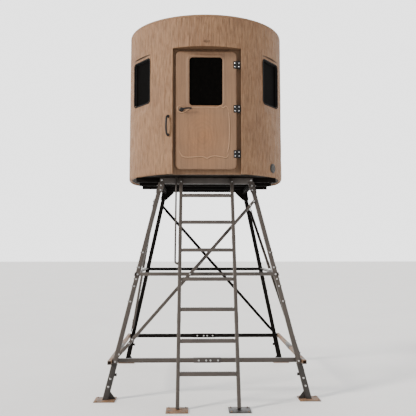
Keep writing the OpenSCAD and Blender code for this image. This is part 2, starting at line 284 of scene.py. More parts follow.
M_BLACK = plain("black_hardware", (0.012, 0.012, 0.013), 0.28, 0.45, scale=80, var=0.3)
M_RUBBER = plain("window_gasket", (0.010, 0.010, 0.010), 0.55, 0.75, scale=120)
M_PORT = plain("port_cap", (0.036, 0.033, 0.029), 0.5, 0.7, scale=90)

M_BLACK.node_tree.nodes["Principled BSDF"].inputs["IOR"].default_value = 1.3
for q_ in (M_UNDERSIDE_PAINTED_SHADE, M_INNER, M_RUBBER):
    q_.node_tree.nodes["Principled BSDF"].inputs["IOR"].default_value = 1.2

def glass():
    m, nt, p = mat("dark_window")
    v = coords(nt, "Object")
    a = nz(nt, v, 3.0, 4, 0.6)
    b = nz(nt, coords(nt, "Object", (1, 1, 0.3)), 90, 5, 0.7)
    col = ramp(nt, b, [(0.35, (0.0016, 0.0015, 0.0014)), (0.62, (0.003, 0.0027, 0.0024)), (0.8, (0.007, 0.006, 0.005))])
    nt.links.new(col, p.inputs["Base Color"])
    nt.links.new(rng(nt, a, 0.3, 0.7, 0.28, 0.42), p.inputs["Roughness"])
    nt.links.new(bump(nt, a, 0.0015, 0.3), p.inputs["Normal"])
    p.inputs["Specular IOR Level"].default_value = 0.12
    p.inputs["IOR"].default_value = 1.09
    return m
M_GLASS = glass()

# ------------------------------------------------------------------ mesh helpers
def obj_from(name, verts, faces, mats, smooth=True, sharp=35, uv=None, fm=None):
    me = bpy.data.meshes.new(name)
    me.from_pydata([tuple(map(float, v)) for v in verts], [], faces)
    if uv is not None:
        lay = me.uv_layers.new(name="uv")
        vi = np.empty(len(me.loops), dtype=np.int32)
        me.loops.foreach_get("vertex_index", vi)
        lay.data.foreach_set("uv", np.asarray(uv, float)[vi].astype(np.float32).ravel())
    for m in mats:
        me.materials.append(m)
    if fm is not None:
        me.polygons.foreach_set("material_index", np.asarray(fm, dtype=np.int32))
    me.polygons.foreach_set("use_smooth", [smooth] * len(me.polygons))
    me.update()
    if smooth:
        me.set_sharp_from_angle(angle=math.radians(sharp))
    o = bpy.data.objects.new(name, me)
    bpy.context.collection.objects.link(o)
    return o

def declare(o, body="body", reps=()):
    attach(o, body)
    if reps:
        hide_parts(*reps)
    return o

class Build:
    """Collects bevelled bars, plates, tubes and bolts into one mesh, each with its own material index."""
    def __init__(self):
        self.v, self.f, self.m = [], [], []
    def add(self, verts, faces, mi=0):
        o = len(self.v)
        self.v += [tuple(v) for v in verts]
        self.f += [tuple(i + o for i in f) for f in faces]
        self.m += [mi] * len(faces)
    def hexa(self, pts, bevel=0.003, seg=2, mi=0):
        bm = bmesh.new()
        vs = [bm.verts.new(p) for p in pts]
        for q in ((0, 3, 2, 1), (4, 5, 6, 7), (0, 1, 5, 4), (1, 2, 6, 5), (2, 3, 7, 6), (3, 0, 4, 7)):
            bm.faces.new([vs[i] for i in q])
        bmesh.ops.recalc_face_normals(bm, faces=bm.faces)
        if bevel:
            bmesh.ops.bevel(bm, geom=bm.edges[:], offset=bevel, segments=seg, profile=0.5, affect="EDGES", clamp_overlap=True)
        bm.verts.index_update()
        self.add([v.co.copy() for v in bm.verts], [[v.index for v in f.verts] for f in bm.faces], mi)
        bm.free()
    def box(self, lo, hi, M=None, bevel=0.003, seg=2, mi=0):
        x0, y0, z0 = lo
        x1, y1, z1 = hi
        p = [(x0, y0, z0), (x1, y0, z0), (x1, y1, z0), (x0, y1, z0), (x0, y0, z1), (x1, y0, z1), (x1, y1, z1), (x0, y1, z1)]
        if M is None:
            M = AX
        self.hexa([M @ Vector(q) for q in p], bevel, seg, mi)
    def plate(self, outline, t, M, mi=0, bev=0.001):
        # outline in local X,Z; thickness from y=0 to y=-t
        n = len(outline)
        v = [M @ Vector((x, 0, z)) for x, z in outline] + [M @ Vector((x, -t, z)) for x, z in outline]
        f = [tuple(range(n)), tuple(range(2 * n - 1, n - 1, -1))] + [(i, i + n, (i + 1) % n + n, (i + 1) % n) for i in range(n)]
        self.add(v, f, mi)
    def ring(self, loops, mi=0, closed=False, cap=False):
        n = len(loops[0])
        v = [p for l in loops for p in l]
        f = []
        k = len(loops)
        for a in range(k if closed else k - 1):
            b = (a + 1) % k
            for i in range(n):
                j = (i + 1) % n
                f.append((a * n + i, a * n + j, b * n + j, b * n + i))
        if cap:
            f.append(tuple(range(n - 1, -1, -1)))
            f.append(tuple((k - 1) * n + i for i in range(n)))
        self.add(v, f, mi)
    def lathe(self, prof, M, n=32, mi=0):
        # prof: (radius, height along local -Y); closed at both ends on the axis
        loops = []
        for r, h in prof:
            loops.append([M @ Vector((r * math.cos(2 * math.pi * i / n), -h, r * math.sin(2 * math.pi * i / n))) for i in range(n)])
        self.ring(loops, mi, cap=True)
    def bolt(self, M, r=0.0095, mi=1, washer=True, h=0.0065):
        if washer:
            r = r * 0.84
            self.lathe([(r * 1.35, -0.001), (r * 1.35, 0.0016), (r * 1.25, 0.0022)], M, 20, mi)
        self.lathe([(r * 1.08, 0.0), (r * 1.08, h * 0.8), (r * 0.85, h)], M, 6, mi)
        self.lathe([(r * 0.55, 0.0), (r * 0.55, h + 0.003), (r * 0.4, h + 0.004)], M, 10, mi)
    def sweep(self, pts, rad, n=16, flat=None, mi=0):
        pts = [Vector(p) for p in pts]
        loops = []
        up = None
        for i, p in enumerate(pts):
            t = (pts[min(i + 1, len(pts) - 1)] - pts[max(i - 1, 0)]).normalized()
            if up is None:
                up = Vector((0, -1, 0)) if abs(t.y) < 0.9 else Vector((0, 0, 1))
            a = (up - t * up.dot(t)).normalized()
            up = a
            b = t.cross(a)
            r = rad[i] if isinstance(rad, (list, tuple)) else rad
            ra, rb = (r, r) if flat is None else (r * flat, r)
            loops.append([p + a * (ra * math.cos(2 * math.pi * k / n)) + b * (rb * math.sin(2 * math.pi * k / n)) for k in range(n)])
        self.ring(loops, mi, cap=True)
    def make(self, name, mats, slot, body="body", reps=(), sharp=40):
        o = obj_from(name, self.v, self.f, mats, sharp=sharp, fm=self.m)
        bm = bmesh.new(); bm.from_mesh(o.data)
        bmesh.ops.recalc_face_normals(bm, faces=bm.faces)
        bm.to_mesh(o.data); bm.free()
        o.data.set_sharp_from_angle(angle=math.radians(sharp))
        return declare(o, body, reps)

AX = Matrix.Translation((0, Y0, 0))
def face(k, z=0.0):
    return AX @ Matrix.Rotation(math.pi / 2 * k, 4, "Z") @ Matrix.Translation((0, -(HB - S * z) - 0.025, z)) @ Matrix.Rotation(-ALPHA, 4, "X")
def legc(z):
    return HB - S * z
def smooth_path(pts, n=8):
    """Catmull-Rom through the points."""
    P = [Vector(p) for p in pts]
    P = [P[0] * 2 - P[1]] + P + [P[-1] * 2 - P[-2]]
    out = []
    for i in range(1, len(P) - 2):
        for k in range(n):
            t = k / n
            a, b, c, d = P[i - 1], P[i], P[i + 1], P[i + 2]
            out.append(0.5 * ((2 * b) + (c - a) * t + (2 * a - 5 * b + 4 * c - d) * t * t + (3 * b - a - 3 * c + d) * t ** 3))
    out.append(P[-2])
    return out

# ------------------------------------------------------------------ bark wall skin
BEAR = (55.0, 117.5, 180.0, -55.0, -117.5)
CE = 24.12
def ro(z):
    return R1 + (R2 - R1) * (z - ZB) / (ZT - ZB)

def skin(name, c0, c1, step, has_recess):
    cols = list(np.arange(c0, c1 + 1e-6, step))
    if has_recess:
        cols = sorted(set([round(c, 4) for c in cols if min(abs(c - CE), abs(c + CE)) > step * 0.45] + [-CE, CE, -CE - 0.16, CE + 0.16, -CE - 0.5, CE + 0.5]))
        cols = [c for i, c in enumerate(cols)]
    rows = [ZB - 0.0, ZB + 0.0015, ZB + 0.005, ZB + 0.011, ZB + 0.02]
    z = ZB + 0.045
    while z < ZT - 0.012:
        rows.append(z)
        z += 0.0235
    rows += [ZT - 0.006, ZT, 3.7418, 3.7545, 3.7553, RZ, RZ + 0.002, RZ + 0.007]
    rows = sorted(set(round(r, 5) for r in rows))
    rows = [r for i, r in enumerate(rows) if i == 0 or r - rows[i - 1] > 0.0005]
    nc, nr = len(cols), len(rows)
    V = np.zeros((nr, nc, 3))
    UV = np.zeros((nr, nc, 2))
    for i, zz in enumerate(rows):
        ce = math.degrees(math.asin(RX / ro(zz)))
        for j, c in enumerate(cols):
            ac = abs(c)
            if has_recess:
                a = c * ce / CE if ac <= CE else math.copysign(ce + (ac - CE) * (90 - ce) / (90 - CE), c)
            else:
                a = c
            r = ro(zz)
            # bark: long wandering furrows with finer cracks between them
            s = math.radians(a) * 0.93
            q = zz + 0.11 * noise.noise((s * 2.0, zz * 0.8, 7.0))
            f1 = noise.noise((s * 34 + 0.9 * noise.noise((s * 6, zz * 5.0, 1.5)), q * 3.4, 2.0))
            f2 = noise.noise((s * 78, q * 8.0, 9.0))
            d = 0.0034 * (1 - min(1, abs(f1) * 2.8)) + 0.0017 * (1 - min(1, abs(f2) * 2.4)) + 0.0005
            flat = False
            for b in BEAR:
                da = math.radians((a - b + 180) % 360 - 180)
                if abs(da) < 0.34 and zz < 3.7549:
                    pl = 0.906 + max(0.0, min(1.0, (3.19 - zz) / 0.15)) ** 1.5 * 0.03
                    rf = pl / math.cos(da)
                    if rf < r:
                        k = min(1.0, (r - rf) / 0.004)
                        d *= 1 - 0.55 * k
                        r = rf
            if zz < ZB + 0.02:                      # rounded bottom lip
                r -= (0.009 if has_recess else 0.002) * (1 - math.sqrt(max(0, 1 - (1 - (zz - ZB) / 0.02) ** 2)))
            if has_recess and zz <= RZ + 0.001 and CE <= ac < CE + 0.17:
                r -= 0.003 * (1 - (ac - CE) / 0.17)
            if has_recess and ac < CE and RZ - 1e-6 <= zz < RZ + 0.003:
                r -= 0.003 * (1 - (zz - RZ) / 0.003)
            r -= d
            V[i, j] = (r * math.sin(math.radians(a)), -r * math.cos(math.radians(a)), zz)
            UV[i, j] = (s, zz)
    if not has_recess:
        for j, c in enumerate(cols):
            V[0, j, 2] = ZB - 0.0145 * max(0.0, min(1.0, (c - 90) / 14, (270 - c) / 14))
    verts = V.reshape(-1, 3).tolist()
    uvs = UV.reshape(-1, 2).tolist()
    faces, fm = [], []
    rr = 0.030
    for i in range(nr - 1):
        zm = (rows[i] + rows[i + 1]) / 2
        for j in range(nc - 1):
            cm = (cols[j] + cols[j + 1]) / 2
            if has_recess and abs(cm) < CE and zm < RZ:
                continue
            hole = False
            for b in BEAR:
                da = math.radians((cm - b + 180) % 360 - 180)
                if abs(da) < 0.3:
                    u = abs(0.906 * math.tan(da)) - 0.1675 - 0.001
                    w = abs(zm - 3.455) - 0.250 - 0.001
                    hole = u < 0 and w < 0 and not (u > -rr and w > -rr and math.hypot(u + rr, w + rr) > rr)
                    break
            if not hole:
                faces.append((i * nc + j, i * nc + j + 1, (i + 1) * nc + j + 1, (i + 1) * nc + j))
                # painted shadow: the band just under each window ledge takes the dark shadow material
                ledge_shadow_band = 3.7418 < zm < 3.7552 and any(abs((cm - q + 180) % 360 - 180) < 11.2 for q in BEAR)
                fm.append(2 if ledge_shadow_band else 0)
    def strip(pa, pb, mi, ua, ub):
        o = len(verts)
        verts.extend(pa); verts.extend(pb)
        uvs.extend(ua); uvs.extend(ub)
        n = len(pa)
        for k in range(n - 1):
            faces.append((o + k, o + k + 1, o + n + k + 1, o + n + k))
            fm.append(mi)
    # underside of the wall, from the lip to the inner face
    for run in ([[j for j, c in enumerate(cols) if c <= -CE + 1e-6], [j for j, c in enumerate(cols) if c >= CE - 1e-6]] if has_recess else [list(range(nc))]):
        pa = [V[0, j].tolist() for j in run]
        pb = [(np.array([V[0, j][0], V[0, j][1], 0]) * (0.893 / math.hypot(V[0, j][0], V[0, j][1])) + np.array([0, 0, ZB + 0.001])).tolist() for j in run]
        if has_recess:
            strip(pa, pb, 0, [UV[0, j].tolist() for j in run], [(UV[0, j][0], ZB - 0.03) for j in run])
        else:
            def at(rad_, dz_):
                return [[V[0, j][0] * rad_ / math.hypot(V[0, j][0], V[0, j][1]), V[0, j][1] * rad_ / math.hypot(V[0, j][0], V[0, j][1]), V[0, j][2] if dz_ is None else ZB + dz_] for j in run]
            us = [(UV[0, j][0], ZB - 0.01) for j in run]
            strip(pa, at(0.9255, None), 0, us, us)
            strip(at(0.9255, None), at(0.9250, 0.0012), 0, us, us)
            strip(at(0.9250, 0.0012), at(0.893, 0.001), 0, us, us)
    if has_recess:
        # painted shade: the jamb returns and the recess ceiling take the darker recess material
        for sgn in (-1, 1):
            j = min(range(nc), key=lambda k: abs(cols[k] - sgn * CE))
            idx = [i for i in range(nr) if rows[i] <= RZ + 1e-5]
            prev = [V[i, j].tolist() for i in idx]
            pu = [(UV[i, j][0], rows[i]) for i in idx]
            for t in (0.0, 0.12, 0.4, 0.7, 1.0):
                cur = []
                for i in idx:
                    y = V[i, j][1] + 0.003
                    cur.append([sgn * RX, y + (-RP + 0.004 - y) * t, rows[i]])
                cu = [(pu[k][0] + sgn * (0.004 + 0.06 * t), rows[i]) for k, i in enumerate(idx)]
                strip(prev, cur, 1, pu, cu)
                prev, pu = cur, cu
        i = min(range(nr), key=lambda k: abs(rows[k] - RZ))
        run = [j for j, c in enumerate(cols) if abs(c) <= CE + 1e-6]
        prev = [V[i, j].tolist() for j in run]
        pu = [UV[i, j].tolist() for j in run]
        for t in (0.0, 0.3, 0.65, 1.0):
            cur = [[V[i, j][0], (V[i, j][1] + 0.003) * (1 - t) + (-RP + 0.004) * t, RZ] for j in run]
            cu = [(u[0], RZ - 0.1 * t) for u in pu]
            strip(prev, cur, 1, pu, cu)
            prev, pu = cur, cu
    verts = [(v[0], v[1] + Y0, v[2]) for v in verts]
    o = obj_from(name, verts, faces, [M_BARK, M_RECESS_SHADE_AND_PAD, M_PAINTED_SHADOW], sharp=50, uv=uvs, fm=fm)
    bm = bmesh.new(); bm.from_mesh(o.data)
    bmesh.ops.remove_doubles(bm, verts=bm.verts, dist=0.00005)
    bmesh.ops.recalc_face_normals(bm, faces=bm.faces)
    bm.to_mesh(o.data); bm.free()
    # outward normals: test one face
    p = max(o.data.polygons, key=lambda q: abs(q.center.x))
    if p.normal.x * p.center.x < 0:
        o.data.flip_normals()
    o.data.set_sharp_from_angle(angle=math.radians(50))
    return o

step = 0.36
sk = skin("bark_wall_front", -90, 90, step, True)
declare(sk, reps=("front_left_wall", "front_right_wall", "door_lintel"))
sk = skin("bark_wall_rear", 90, 270, step * 1.25, False)
declare(sk, reps=("rear_left_wall", "rear_right_wall", "rear_wall"))

# inner skin, jamb returns and recess ceiling, seen through the open door
b = Build()
nseg = 144
def holed_inner():
    zs = sorted(set([ZB + 0.041, 2.9, 3.2, RZ + 0.038, 3.95, ZT] + [3.205 + 0.5 * k / 12 for k in range(13)]))
    vs, fs = [], []
    n = 360
    for z in zs:
        for k in range(n):
            a = 2 * math.pi * k / n
            r = ro(z) - WT
            for bb in BEAR:
                da = (a - math.radians(bb) + math.pi) % (2 * math.pi) - math.pi
                if abs(da) < 0.24 and 3.16 < z < 3.78:
                    r = min(r, 0.868 / math.cos(da))
            vs.append((r * math.sin(a), -r * math.cos(a) + Y0, z))
    for i in range(len(zs) - 1):
        zm = (zs[i] + zs[i + 1]) / 2
        for k in range(n):
            am = 2 * math.pi * (k + 0.5) / n
            x = 0.88 * math.sin(am)
            if abs(x) < 0.405 and math.cos(am) > 0 and zm < RZ + 0.038:
                continue
            if 3.205 < zm < 3.705 and any(abs(0.868 * math.tan((am - math.radians(q) + math.pi) % (2 * math.pi) - math.pi)) < 0.168
                                          and math.cos(am - math.radians(q)) > 0 for q in BEAR):
                continue
            fs.append((i * n + (k + 1) % n, i * n + k, (i + 1) * n + k, (i + 1) * n + (k + 1) % n))
    b.add(vs, fs, 0)
holed_inner()
for s in (-1, 1):
    b.box((min(s * 0.384, s * 0.42), -0.800, ZB + 0.002), (max(s * 0.384, s * 0.42), -0.746, RZ + 0.036), bevel=0.002)
b.box((-0.40, -0.812, RZ + 0.004), (0.40, -0.746, RZ + 0.038), bevel=0.002)
ring_ = [(0.885 * math.sin(q), -0.885 * math.cos(q)) for q in [2 * math.pi * k / 180 for k in range(180)] if 0.885 * math.cos(q) < 0.742]
a0_ = math.acos(0.742 / 0.885)
ring_ = [(0.885 * math.sin(a0_), -0.742)] + ring_ + [(-0.885 * math.sin(a0_), -0.742)]
low_ = [(x, y + Y0, ZB + 0.0405) for x, y in ring_]
top_ = [(x * 0.998, y * 0.998 + Y0, ZB + 0.0425) for x, y in ring_]
b.ring([low_, top_], 1, cap=True)
o = obj_from("inner_skin", b.v, b.f, [M_INNER, M_MAT], sharp=40, fm=b.m)
declare(o)

# roof: rounded rim and shallow dome, outer and inner faces
b = Build()
rim, rise = R2 - 0.023, 0.089
dome = (rim * rim + rise * rise) / (2 * rise)
def dz(r):
    return ZT + 0.031 + rise - (dome - math.sqrt(dome * dome - r * r))
prof = [(0.004, dz(0.0))] + [(rim * i / 22, dz(rim * i / 22)) for i in range(1, 22)]
prof += [(R2 - 0.023, ZT + 0.0312), (R2 - 0.0165, ZT + 0.0292), (R2 - 0.010, ZT + 0.0245), (R2 - 0.005, ZT + 0.018), (R2 - 0.0022, ZT + 0.010), (R2 - 0.0015, ZT + 0.0035), (R2 - 0.004, ZT + 0.0006)]
prof += [(R2 - 0.037, ZT + 0.0006)] + [((rim - 0.028) * i / 14, dz((rim - 0.028) * i / 14) - 0.030) for i in range(14, 0, -1)] + [(0.004, dz(0.0) - 0.030)]
n = 192
loops = [[(r * math.cos(2 * math.pi * k / n), r * math.sin(2 * math.pi * k / n) + Y0, z) for k in range(n)] for r, z in prof]
b.ring(loops, cap=True)
b.make("roof_dome", [M_ROOF], "shell_plastic", reps=("roof",), sharp=40)

# bare raised pad over the door
b = Build()
M = AX @ Matrix.Translation((-0.006, -ro(3.826) + 0.0015, 3.826))
pr = []
for k, (s_, h) in enumerate(((1.0, -0.004), (1.0, 0.0035), (0.93, 0.0055), (0.80, 0.0060), (0.74, 0.0045), (0.0001, 0.0045))):
    pr.append([M @ Vector((0.034 * s_ * math.cos(2 * math.pi * i / 40), -h + 0.0006 * (math.cos(2 * math.pi * i / 40) ** 2) * 0, 0.0135 * s_ * math.sin(2 * math.pi * i / 40))) for i in range(40)])
b.ring(pr, cap=True)
b.make("blank_pad", [M_RECESS_SHADE_AND_PAD], "shell_plastic")

# ------------------------------------------------------------------ windows
def rr_loop(w, h, r, cx, cz, y, M=AX, nc=7, ns=5):
    pts = []
    for qx, qz, a0 in ((1, 1, 0), (-1, 1, 90), (-1, -1, 180), (1, -1, 270)):
        ox, oz = cx + qx * (w / 2 - r), cz + qz * (h / 2 - r)
        for k in range(nc + 1):
            a = math.radians(a0 + 90 * k / nc)
            pts.append((ox + r * math.cos(a), oz + r * math.sin(a)))
        # straight run to the next corner
        nq = {(1, 1): (-1, 1), (-1, 1): (-1, -1), (-1, -1): (1, -1), (1, -1): (1, 1)}[(qx, qz)]
        na = math.radians(a0 + 90)
        ex, ez = cx + nq[0] * (w / 2 - r) + r * math.cos(na), cz + nq[1] * (h / 2 - r) + r * math.sin(na)
        sx, sz = pts[-1]
        for k in range(1, ns):
            pts.append((sx + (ex - sx) * k / ns, sz + (ez - sz) * k / ns))
    return [M @ Vector((x, y, z)) for x, z in pts]

b = Build()
for bb in BEAR:
    M = AX @ Matrix.Rotation(math.radians(bb), 4, "Z")
    L = []
    for o_, y in ((0.013, -0.903), (0.013, -0.9085), (0.0105, -0.9103), (0.003, -0.9103), (0.0, -0.908), (-0.0012, -0.900), (-0.0012, -0.8875), (-0.009, -0.887), (-0.009, -0.879), (-0.0012, -0.8785), (-0.0012, -0.870), (0.0, -0.867), (0.012, -0.866), (0.014, -0.869)):
        L.append(rr_loop(0.335 + 2 * o_, 0.5 + 2 * o_, 0.03 + o_, 0, 3.455, y, M))
    b.ring(L, closed=True)
b.make("window_gaskets", [M_RUBBER], "black_hardware")
for w in ("window_front_left", "window_front_right", "window_rear_left", "window_rear_right", "window_rear"):
    N[w].data.materials.clear(); N[w].data.materials.append(M_GLASS)
N["door_window"].data.materials.clear(); N["door_window"].data.materials.append(M_GLASS)

# ------------------------------------------------------------------ door leaf
b = Build()
W, H = 0.678, 1.321
L = []
for o_, y in ((-0.006, -0.7902), (-0.001, -0.7925), (0, -0.797), (0, -0.809), (-0.0025, -0.8150), (-0.0065, -0.8185), (-0.013, -0.8200), (-0.020, -0.8200)):
    L.append(rr_loop(W + 2 * o_, H + 2 * o_, 0.060 + o_, LEAFX, LEAFZ, y, nc=9, ns=8))
for o_, y in ((0.040, -0.8200), (0.034, -0.8206), (0.027, -0.8240), (0.018, -0.8256), (0.009, -0.8248), (0.002, -0.8215), (0.0, -0.8165), (0.0, -0.7925), (0.003, -0.7902)):
    L.append(rr_loop(0.366 + 2 * o_, 0.541 + 2 * o_, 0.036 + o_, LEAFX - 0.001, 3.4055, y, nc=9, ns=8))
b.ring(L, closed=True)
b.make("door_panel", [M_DOOR], "door_plastic", "door", reps=("door_leaf",), sharp=60)

def px(x, y):
    """Door-face coordinates (x, z) of the moulded lines, laid out on a 0.011 m grid."""
    return (-0.2972 + (x - 180) * 0.01102, 3.1036 - (y - 108) * (0.011095 if y > 108 else 0.01123))
b = Build()
lines = [
    ([(183.5, 104.8), (180.6, 105.2), (178.2, 106.6), (177.6, 109), (179, 111.6), (182, 112.6), (185.5, 111.2), (188.5, 109.2), (193, 107.7), (199, 107.2), (206.6, 106.9), (212.5, 107.6), (217, 107.4), (219, 106.0), (220.6, 105.5), (222, 106.8), (223.4, 107.7), (224.6, 106.6), (226, 105.8), (227.6, 107.4), (228.5, 109.9)], 0.0065, 0.0048),
    ([(228.6, 111.5), (229.4, 118), (229.6, 130), (229.3, 142), (228.6, 148), (227.5, 152)], 0.0050, 0.0030),
    ([(179.2, 150.5), (180.4, 152.8), (182.4, 156.0), (186, 157.2), (192, 157.1), (199, 156.6), (203.4, 156.8), (205.6, 157.6), (207.1, 158.2), (208.8, 157.4), (210.8, 156.6), (215, 155.8), (221, 156.6), (225.6, 157.5), (227.4, 156.4), (228.8, 153.2)], 0.0065, 0.0050),
]
for pts, wr, hr in lines:
    path = smooth_path([(px(*q)[0], Y0 - LEAFY + 0.0004, px(*q)[1]) for q in pts], 6)
    k = len(path)
    rad = [wr * min(1.0, 0.25 + 6 * min(i, k - 1 - i) / k) for i in range(k)]
    b.sweep(path, [q * 1.15 for q in rad], 12, flat=hr / wr * 1.15)
    # painted shadow: a thin dark strip under each level line and to the right of the upright one
    shadow_offset = Vector((0, 0.0002, -0.0085)) if abs(path[0].z - path[-1].z) < 0.12 else Vector((0.0075, 0.0002, 0))
    b.sweep([q + shadow_offset for q in path], [0.0036 * q / wr for q in rad], 8, flat=0.3, mi=1)
b.make("door_ridges_painted_light", [M_RIDGE_PAINTED_HIGHLIGHT, M_PAINTED_SHADOW], "door_plastic", "door", sharp=80)

# recessed panel and sill stay as CAD, floor pan too; the panel takes the darker recess tan as painted shade, the floor
# pan the near-black painted shade of the underside
for nme, mm in (("door_surround", M_RECESS_SHADE_AND_PAD), ("floor_pan", M_UNDERSIDE_PAINTED_SHADE)):
    N[nme].data.materials.clear(); N[nme].data.materials.append(mm)

# ------------------------------------------------------------------ hinges
bd, bf = Build(), Build()
for z in HZ:
    bd.box((HX - 0.039, -0.8236, z - 0.042), (HX - 0.004, -0.8203, z + 0.042), bevel=0.0012)
    bf.box((HX + 0.008, -0.8236, z - 0.042), (HX + 0.038, -0.8203, z + 0.042), bevel=0.0012)
    bf.box((HX + 0.013, -0.8206, z - 0.040), (HX + 0.037, -0.7843, z + 0.040), bevel=0.002)
    for k in range(5):
        z0, z1 = z - 0.042 + 0.0168 * k + 0.0004, z - 0.042 + 0.0168 * (k + 1) - 0.0004
        t = bd if k % 2 == 0 else bf
        Mk = AX @ Matrix.Translation((HX, -HY, z0)) @ Matrix.Rotation(-math.pi / 2, 4, "X")
        t.lathe([(0.0046, 0.0), (0.0060, 0.0012), (0.0060, z1 - z0 - 0.0012), (0.0046, z1 - z0)], Mk, 20)
        if k % 2 == 0:
            bd.box((HX - 0.008, -0.8262, z0), (HX - 0.0035, -0.8206, z1), bevel=0.001)
        else:
            bf.box((HX + 0.0035, -0.8262, z0), (HX + 0.010, -0.8206, z1), bevel=0.001)
    for dz_ in (-0.0205, 0.0205):
        for t, dx in ((bd, -0.0215), (bf, 0.0215)):
            Ms = AX @ Matrix.Translation((HX + dx, -0.8234, z + dz_))
            t.lathe([(0.0070, -0.001), (0.0070, 0.0010), (0.0058, 0.0028), (0.0030, 0.0040), (0.0012, 0.0041)], Ms, 20, 1)
bd.make("hinge_leaves_door", [M_BLACK, M_SCREW], "black_hardware", "door", reps=("hinge_door_plates",))
bf.make("hinge_leaves_frame", [M_BLACK, M_SCREW], "black_hardware", "body", reps=("hinge_frame_plates",))

# ------------------------------------------------------------------ lever and its rose
b = Build()
Mr = AX @ Matrix.Translation((LX, -LEAFY, LZ))
b.lathe([(0.026, -0.002), (0.026, 0.003), (0.0235, 0.0065), (0.017, 0.0085), (0.0135, 0.0092), (0.012, 0.0092)], Mr, 36)
b.make("lever_rose", [M_BLACK], "black_hardware", "door")
b = Build()
b.lathe([(0.0100, 0.0096), (0.0105, 0.020), (0.0125, 0.029), (0.0125, 0.038), (0.0095, 0.0418), (0.004, 0.0425)], Mr, 28)
path = smooth_path([Mr @ Vector(p) for p in ((-0.004, -0.033, -0.001), (0.016, -0.034, 0.002), (0.038, -0.0352, 0.0068), (0.062, -0.0358, 0.0098), (0.088, -0.0352, 0.0105), (0.108, -0.0335, 0.0092), (0.114, -0.0325, 0.0082))], 6)
k = len(path)
rad = [0.0120 - 0.0030 * min(1, i / (k * 0.35)) if i < k * 0.6 else 0.0090 + 0.0009 * math.sin(math.pi * (i / k - 0.6) / 0.4) for i in range(k)]
rad[-1] = 0.003; rad[-2] = 0.0060
b.sweep(path, rad, 18, flat=0.72)
b.make("lever_bar", [M_BLACK], "black_hardware", "lever", reps=("lever_handle",), sharp=50)

# ------------------------------------------------------------------ grab handle
b = Build()
Mg = AX @ Matrix.Rotation(math.radians(-27.5), 4, "Z") @ Matrix.Translation((0, -ro(2.9), 2.9085))
pts = [(0, 0.001, 0.103), (0, -0.012, 0.103), (0, -0.026, 0.096), (0, -0.037, 0.076), (0, -0.0425, 0.045), (0, -0.0440, 0.0), (0, -0.0425, -0.045), (0, -0.037, -0.076), (0, -0.026, -0.096), (0, -0.012, -0.103), (0, 0.001, -0.103)]
path = smooth_path([Mg @ Vector(p) for p in pts], 6)
k = len(path)
rad = [0.0105 + 0.0018 * abs(2 * i / (k - 1) - 1) ** 3 for i in range(k)]
b.sweep(path, rad, 18)
for s in (-1, 1):
    Mf = Mg @ Matrix.Translation((0, 0.0, s * 0.1035))
    b.lathe([(0.0165, -0.006), (0.0165, 0.003), (0.014, 0.006), (0.010, 0.0075)], Mf, 28)
    for dx in (-0.0115, 0.0115):
        b.lathe([(0.0035, 0.0), (0.0035, 0.0052), (0.002, 0.0060)], Mf @ Matrix.Translation((dx, 0, 0)), 12, 1)
b.make("grab_bow", [M_BLACK, M_BOLT], "black_hardware", reps=("grab_handle",), sharp=50)

# ------------------------------------------------------------------ port cap
b = Build()
Mp = AX @ Matrix.Rotation(math.radians(55), 4, "Z") @ Matrix.Translation((0, -ro(2.473), 2.473))
b.lathe([(0.054, -0.004), (0.054, 0.004), (0.0525, 0.0065), (0.049, 0.0078), (0.0455, 0.0072), (0.044, 0.009), (0.0425, 0.0125), (0.039, 0.0135), (0.031, 0.0128), (0.029, 0.0110), (0.022, 0.0110), (0.020, 0.0126), (0.008, 0.0130)], Mp, 48)
b.make("port_cap", [M_PORT], "port_plastic", reps=("port_cover",), sharp=50)

# ------------------------------------------------------------------ tower legs and feet
LEGZ = (1.515, 1.352, 1.276, 1.227, 1.151, 0.990)
def leaner(b, k, z0, z1, w, bevel, seg=3, mi=0):
    R = AX @ Matrix.Rotation(math.pi / 2 * k, 4, "Z")
    a, c, h = legc(z0), legc(z1), w / 2
    P = [(a - h, a - h, z0), (a + h, a - h, z0), (a + h, a + h, z0), (a - h, a + h, z0), (c - h, c - h, z1), (c + h, c - h, z1), (c + h, c + h, z1), (c - h, c + h, z1)]
    b.hexa([R @ Vector(p) for p in P], bevel, seg, mi)

